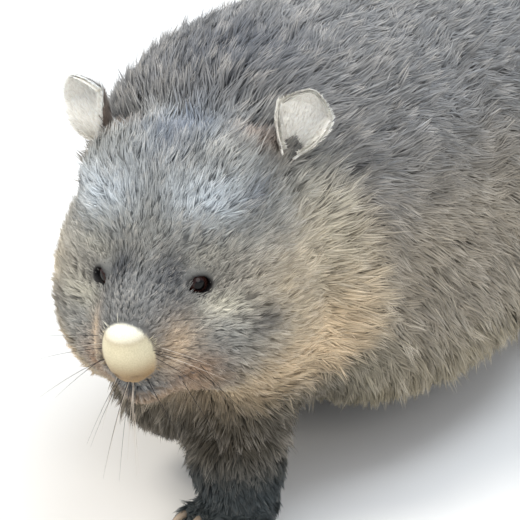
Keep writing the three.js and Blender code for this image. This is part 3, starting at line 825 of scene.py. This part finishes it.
# All claws in one mesh: flattened rings along an arc that droops, from inside the toe to a worn tip.
def makeClaws():
    verts, faces, colours, nodes = [], [], [], []
    labels = dict(foreLeft="forepaw_left", foreRight="forepaw_right",
                  hindLeft="hindfoot_left", hindRight="hindfoot_right")
    share = np.linspace(0, 1, claws["rows"])
    turn = np.arange(claws["sides"]) * 2 * math.pi / claws["sides"]
    size = np.sqrt(np.maximum(1 - share ** 3, 0.0)) * (1 - claws["taper"] * share)
    size[-1] = claws["tip"]
    fall = math.radians(claws["droop"]) * share
    shade = mixed(claws["dark"], claws["light"], np.repeat(share, claws["sides"]))
    for name, label in labels.items():
        sizes = toes[name[:4]]
        along = -claws["root"] + (sizes["claw"] + claws["root"]) * share
        ahead = sizes["radius"] * claws["ahead"] + along * np.cos(fall)
        for number, toe in enumerate(toesOf(name)):
            across = np.array([-toe["way"][1], toe["way"][0], 0])
            middle = toe["tip"] + toe["way"] * ahead[:, None]
            middle[:, 2] += claws["up"] - np.maximum(0, along) * np.sin(fall) * claws["fall"]
            ring = ringsAlong(middle, turn, across, np.array([0, 0, 1]), claws["width"] / 2 * size,
                              claws["height"] / 2 * size).reshape(-1, 3)
            ring[:, 2] = np.maximum(ring[:, 2], claws["floor"])
            faces.append(ringFaces(len(share), len(turn), first=len(nodes) * len(ring)))
            verts.append(ring)
            colours.append(shade)
            nodes.append(f"claw_{label}_{number + 1}")
    made = meshFrom("claws", toFrame(np.concatenate(verts)), np.concatenate(faces), np.concatenate(colours))
    return dress(made, tintMaterial("claw", 0.42, 1300, 0.25, gloss=0.5), "claw", *nodes)


makeClaws()
print("claws")

lie = dict(source=(0, -150, -20), flatter=0.9, down=(300, 120), slower=0.35, fall=0.12, fallMore=0.75,
           legs=(0, 0.25, -1.0), legsFrom=(130, 70))


# The way the coat lies: back from the nose over the head, back and down over the body, down the legs. It is
# mixed by place and brought square to the skin's normal.
def coatWay(p, normal):
    q = intoHead(p)
    fromNose = q - np.array(lie["source"])
    fromNose[:, 2] *= lie["flatter"]
    down = ramp(p[:, 2], *lie["down"])
    fall = lie["fall"] + lie["fallMore"] * down
    onBody = np.stack([np.zeros(len(p)), 1 - lie["slower"] * down, -fall], axis=1)
    way = mixed(onBody, np.array(lie["legs"]), ramp(p[:, 2], *lie["legsFrom"]))
    way = mixed(way, unit(fromNose) @ headTurn.T, headShare(q))
    return unit(way - normal * np.sum(way * normal, axis=1, keepdims=True))


coatMeasures = dict(
    length=dict(body=23, face=-12, front=-4.5, nose=-4.3, jowl=6, feet=8, belly=8, nearEyes=0.55),
    width=dict(body=1.15, face=-0.5, front=-0.15, feet=0.7),
    lean=dict(body=20, face=-3, nose=-7, belly=5),
    clump=dict(body=6.5, face=-3.6, front=-1.2, nose=-0.6, feet=2.8),
    density=dict(body=0.36, face=0.85, front=0.9, feet=0.75, thinner=0.45),
)


# A tuft's length, width, lean off the skin, clump size and how many to a square millimetre. Each is the
# body's value plus what the face, its front, the nose and the jowls add, and then mixed into the feet's.
def coatSizes(p):
    q = intoHead(p)
    above = ramp(q[:, 2], -150, -122)
    jowl = above * ramp(q[:, 2], -40, -110) * ramp(q[:, 1], -60, -20) * ramp(q[:, 1], 110, 50)
    shares = dict(face=ramp(q[:, 1], 70, -60) * above, front=ramp(q[:, 1], -60, -100) * above,
                  nose=noseShare(p), jowl=jowl)
    feet = ramp(p[:, 2], 110, 40)
    belly = ramp(p[:, 2], 150, 80) * (1 - feet) * ramp(p[:, 1], -230, -190)
    nearEyes = eyeNearness(p)
    made = {}
    for name, sizes in coatMeasures.items():
        value = sizes["body"] + sum(sizes.get(part, 0) * share for part, share in shares.items())
        value = value * (1 - sizes.get("thinner", 0) * shares["nose"])
        if "feet" in sizes:
            value = value * (1 - feet) + sizes["feet"] * feet
        value = value + sizes.get("belly", 0) * belly
        made[name] = value * (1 - sizes.get("nearEyes", 0) * nearEyes)
    return made


coat = dict(
    perClump=11, total=430000, most=62000, seed=11, quickShare=4, floor=3, lidGap=1.8, eyeGap=17,
    mouthGap=1.9, mouthBack=-66, mouthSide=40, noseMost=0.02, bend=13, sweep=12, leanSpread=0.28, leanSweep=4,
    lengthSpread=0.16, scatter=0.55, gather=0.5, gatherSpread=0.12, reachSpread=0.13, stray=0.09, sunk=0.5,
    bow=0.07, bowSpread=0.3, twist=0.35, narrower=0.85, lowest=0.4, legTop=95,
    dark=0.42, calmer=0.4, lightShare=0.55, light=linear(0.86, 0.82, 0.76), tipLeast=0.75, tipMore=0.55,
)


# The clumps' seeds, drawn on the skin by its area times the tufts' density. The lids' openings, the mouth and
# the nose pad stay bare.
def clumpSeeds(draw):
    a, b, c, d = (skinVerts[skinQuads[:, i]] for i in range(4))
    area = 0.5 * np.linalg.norm(np.cross(c - a, d - b), axis=1)
    middle = (a + b + c + d) / 4
    keep = (middle[:, 2] > coat["floor"]) & (noseShare(middle) < coat["noseMost"])
    for frameOf in eyes:
        far = np.linalg.norm(middle - frameOf["middle"], axis=1) > coat["eyeGap"]
        keep &= (lidOpening(middle, frameOf) > coat["lidGap"]) | far
    q = intoHead(middle)
    atMouth = (np.abs(mouthLevel(q)) < coat["mouthGap"]) & (q[:, 1] < coat["mouthBack"])
    keep &= ~(atMouth & (np.abs(q[:, 0]) < coat["mouthSide"]))
    weight = area * coatSizes(middle)["density"] * keep
    wanted = weight.sum()
    clumps = int(wanted * min(1.0, coat["total"] / wanted) / coat["perClump"])
    clumps //= 1
    chosen = draw.choice(len(weight), clumps, p=weight / wanted)
    u, v = draw.random((2, clumps, 1))
    near, far = a[chosen] * (1 - u) + b[chosen] * u, d[chosen] * (1 - u) + c[chosen] * u
    return near * (1 - v) + far * v


# The tufts of each clump: scattered round its seed and brought onto the skin, with tips that draw together
# towards the clump's own. One ribbon to a tuft: two points at the root, two part of the way, and the tip.
def growTufts(seed, draw):
    n = len(seed)
    k = coat["perClump"]
    _, normal, _ = slopeOf(bodyField, seed, 1.0)
    sizes = coatSizes(seed)
    length = sizes["length"]
    way = coatWay(seed, normal)
    across = np.cross(normal, way)
    bend = np.radians(draw.normal(0, coat["bend"], n) + coat["sweep"] * waves(seed, 90, 3))
    way = way * np.cos(bend)[:, None] + across * np.sin(bend)[:, None]
    across = np.cross(normal, way)
    lean = sizes["lean"] * (1 + coat["leanSpread"] * draw.normal(size=n))
    lift = np.radians(lean + coat["leanSweep"] * waves(seed, 40, 5))
    clumpLength = length * np.clip(1 + coat["lengthSpread"] * draw.normal(size=n), 0.6, 1.5)
    toTip = way * (clumpLength * np.cos(lift))[:, None] + normal * (clumpLength * np.sin(lift))[:, None]
    pale = np.clip(0.5 + 0.33 * draw.normal(size=n) + 0.25 * waves(seed, 30, 8), 0, 1)

    away = draw.normal(0, coat["scatter"], (n, k, 2)) * sizes["clump"][:, None, None]
    root = seed[:, None] + away[..., :1] * way[:, None] + away[..., 1:] * across[:, None]
    flat = root.reshape(-1, 3)
    for _ in range(2):
        flat = flat - np.repeat(normal, k, 0) * (bodyField(flat) + coatDepth(flat))[:, None]
    root = flat.reshape(n, k, 3)
    own = draw.normal(0, 1, (n, k, 3))
    gather = np.clip(coat["gather"] + coat["gatherSpread"] * draw.normal(size=(n, k, 1)), 0.1, 0.8)
    reach = toTip[:, None] * (1 + coat["reachSpread"] * own[..., :1])
    free = root + reach + across[:, None] * own[..., 1:2] * coat["stray"] * length[:, None, None]
    tip = free * (1 - gather) + (seed[:, None] + reach) * gather
    low = root - normal[:, None] * coat["sunk"]
    bow = coat["bow"] * length[:, None, None] * (1 + coat["bowSpread"] * own[..., 2:])
    middle = root * 0.5 + tip * 0.5 + normal[:, None] * bow
    side = unit(np.cross(np.broadcast_to(normal[:, None], tip.shape), tip - root))
    side += normal[:, None] * coat["twist"] * draw.normal(size=(n, k, 1))
    wide = side * (sizes["width"][:, None] * draw.uniform(0.35, 0.65, (n, k)))[..., None]
    upper = wide * coat["narrower"]
    points = np.stack([low - wide, low + wide, middle + upper, middle - upper, tip], axis=2)
    points[..., 2] = np.maximum(points[..., 2], coat["lowest"])

    colour = markingsAndPaintedLight(root.reshape(-1, 3)).reshape(n, k, 1, 3)
    spread = (1 + 0.10 * draw.normal(size=(n, 1, 1, 1))) * (1 + 0.11 * draw.normal(size=(n, k, 1, 1)))
    calm = np.maximum(noseShare(seed), ramp(seed[:, 2], 80, 40) * 0.7)[:, None, None, None]
    pale = pale[:, None, None, None]
    dark = colour * (coat["dark"] + coat["calmer"] * calm)
    light = colour * (1 - coat["lightShare"]) + coat["light"] * coat["lightShare"]
    tipShade = colour * (coat["tipLeast"] + coat["tipMore"] * pale)
    tipShade = tipShade + (light - tipShade) * (pale ** 2 * 0.75 * (1 - calm))
    tints = np.concatenate([dark, dark, colour, colour, tipShade], axis=2) * spread
    return points, np.clip(tints, 0.002, 0.95), root, normal


# An unwrap of the coat's roots: six sides of a box, laid out three by two, each as large as the piece.
def unwrapped(root, normal):
    low, high = root.min(0), root.max(0)
    at = (root - low) / np.maximum(high - low, 1)
    axis = np.argmax(np.abs(normal), axis=1)
    sign = np.take_along_axis(normal, axis[:, None], 1)[:, 0] > 0
    u = np.take_along_axis(at, ((axis + 1) % 3)[:, None], 1)[:, 0]
    v = np.take_along_axis(at, ((axis + 2) % 3)[:, None], 1)[:, 0]
    return np.stack([(axis + 0.03 + 0.94 * u) / 3, (sign + 0.03 + 0.94 * v) / 2], axis=1)


# The coat's pieces: the body's clumps, then the left legs', then the right legs', each sorted from front to
# back and cut into equal parts of at most so many tufts.
def makeCoat():
    draw = np.random.default_rng(coat["seed"])
    seeds = clumpSeeds(draw)
    print("clumps", len(seeds))
    points, tints, root, normal = growTufts(seeds, draw)
    k = coat["perClump"]
    group = np.where(seeds[:, 2] < coat["legTop"], np.where(seeds[:, 0] > 0, 1, 2), 0)
    material = tintMaterial("fur", 0.55, 60, 0, 0.12, gloss=0.25)
    piece = 0
    for wanted in (0, 1, 2):
        members = np.flatnonzero(group == wanted)
        members = members[np.argsort(seeds[members, 1])]
        for part in np.array_split(members, max(1, math.ceil(len(members) * k / coat["most"]))):
            centre = unwrapped(root[part].reshape(-1, 3), np.repeat(normal[part], k, 0))
            dress(ribbonMesh(f"coat_{piece:02d}", points[part], tints[part], centre), material, "coat")
            piece += 1
    print("coat", len(seeds) * k, "tufts in", piece, "pieces")


makeCoat()

whiskers = dict(
    perSide=14, sides=3, rows=7, radius=0.3, taper=0.85, seed=5, steps=20, x=(20, 32), y=(-108, -78),
    z=(-50, -24), length=(34, 74), droop=0.25, sag=0.3, back=0.25, darkShare=0.6,
    dark=linear(0.12, 0.10, 0.10), light=linear(0.75, 0.70, 0.64),
)


# Whiskers: thin tapered tubes from the pads beside the nose. Each starts along the skin's normal, mixed with
# the way the coat lies, and curves back and down by the square of its share.
def makeWhiskers():
    draw = np.random.default_rng(whiskers["seed"])
    verts, faces, colours = [], [], []
    share = np.linspace(0, 1, whiskers["rows"])
    turn = np.arange(whiskers["sides"]) * 2 * math.pi / whiskers["sides"]
    thick = whiskers["radius"] * (1 - whiskers["taper"] * share)
    for side in (1,) * whiskers["perSide"] + (-1,) * whiskers["perSide"]:
        start = np.array([side * draw.uniform(*whiskers["x"]), draw.uniform(*whiskers["y"]),
                          draw.uniform(*whiskers["z"])])
        root = outOfHead(start * [0.6, 1, 1])
        for _ in range(whiskers["steps"]):
            d, way, _ = slopeOf(bodyField, root[None], 0.5)
            root = root - way[0] * d[0]
        way = way[0]
        back = coatWay(root[None], way[None])[0]
        along = draw.uniform(*whiskers["length"]) * share
        aim = way * draw.uniform(0.7, 1.0) + back * draw.uniform(0.3, 0.9)
        aim = unit(aim - np.array([0, 0, whiskers["droop"]]))
        curve = back * whiskers["back"] - np.array([0, 0, whiskers["sag"]])
        path = root - way * 2 + aim * along[:, None] + curve * (along * share)[:, None] * 0.6
        across = unit(np.cross(aim, [0, 0, 1.0]))
        ring = ringsAlong(path, turn, across, np.cross(across, aim), thick, thick).reshape(-1, 3)
        faces.append(ringFaces(len(share), len(turn), first=len(verts) * len(ring)))
        verts.append(ring)
        shade = whiskers["dark"] if draw.random() < whiskers["darkShare"] else whiskers["light"]
        colours.append(np.tile(shade, (len(ring), 1)))
    made = meshFrom("whiskers", toFrame(np.concatenate(verts)), np.concatenate(faces), np.concatenate(colours))
    return dress(made, tintMaterial("whisker", 0.4, 50, 0), "coat")


makeWhiskers()
print("whiskers")

studio = dict(floor=(0.74, 0.71, 0.66, 1), floorSize=30, floorRough=0.9, aim=(0, 0, 0.15),
              sky=(0.80, 0.87, 1.0, 1), skyStrength=0.88)
lights = [
    dict(name="key", at=(-1.2, -1.8, 2.6), size=1.4, power=88, colour=(1.0, 0.97, 0.91)),
    dict(name="sky", at=(0.4, 0.9, 2.8), size=2.4, power=62, colour=(0.78, 0.88, 1.0)),
    dict(name="fill", at=(2.2, -1.6, 1.2), size=1.8, power=26, colour=(1.0, 0.97, 0.92)),
]


# A wide plane at height 0, dull and pale.
def makeFloor():
    bpy.ops.mesh.primitive_plane_add(size=studio["floorSize"], location=(0, 0, 0))
    floor = bpy.context.object
    floor.name = "floor"
    material = bpy.data.materials.new("floor")
    material.use_nodes = True
    look = {"Base Color": studio["floor"], "Roughness": studio["floorRough"]}
    setInputs(material.node_tree.nodes["Principled BSDF"], look)
    floor.data.materials.append(material)


# A soft round light: its -Z runs from its place to the point that all lights are aimed at.
def makeLight(name, at, size, power, colour):
    data = bpy.data.lights.new(name, "AREA")
    data.shape = "DISK"
    data.size = size
    data.energy = power
    data.color = colour
    lamp = placed(name, data)
    lamp.location = at
    lamp.rotation_euler = (Vector(studio["aim"]) - Vector(at)).to_track_quat("-Z", "Y").to_euler()


makeFloor()
for light in lights:
    makeLight(**light)
world = bpy.data.worlds.new("studio")
bpy.context.scene.world = world
world.use_nodes = True
setInputs(world.node_tree.nodes["Background"], {"Color": studio["sky"], "Strength": studio["skyStrength"]})
bpy.context.scene.view_settings.view_transform = "Standard"

view = dict(azimuth=30, elevation=20, distance=2.2, focal=2840, pixels=520, sensor=36, clip=(0.05, 60),
            aim=(125, -406, 257))


# The camera looks at the point that the middle of the photograph shows. Its lens is the focal length in
# pixels times the sensor's width over the picture's.
def makeCamera():
    data = bpy.data.cameras.new("camera")
    data.sensor_width = view["sensor"]
    data.lens = view["sensor"] * view["focal"] / view["pixels"]
    data.clip_start, data.clip_end = view["clip"]
    camera = bpy.context.scene.camera = placed("camera", data)
    a, e = math.radians(view["azimuth"]), math.radians(view["elevation"])
    back = Vector((math.sin(a) * math.cos(e), -math.cos(a) * math.cos(e), math.sin(e)))
    camera.location = Vector(toFrame(view["aim"])) + back * view["distance"]
    camera.rotation_mode = "QUATERNION"
    camera.rotation_quaternion = (-back).to_track_quat("-Z", "Y")


makeCamera()
print("stage")
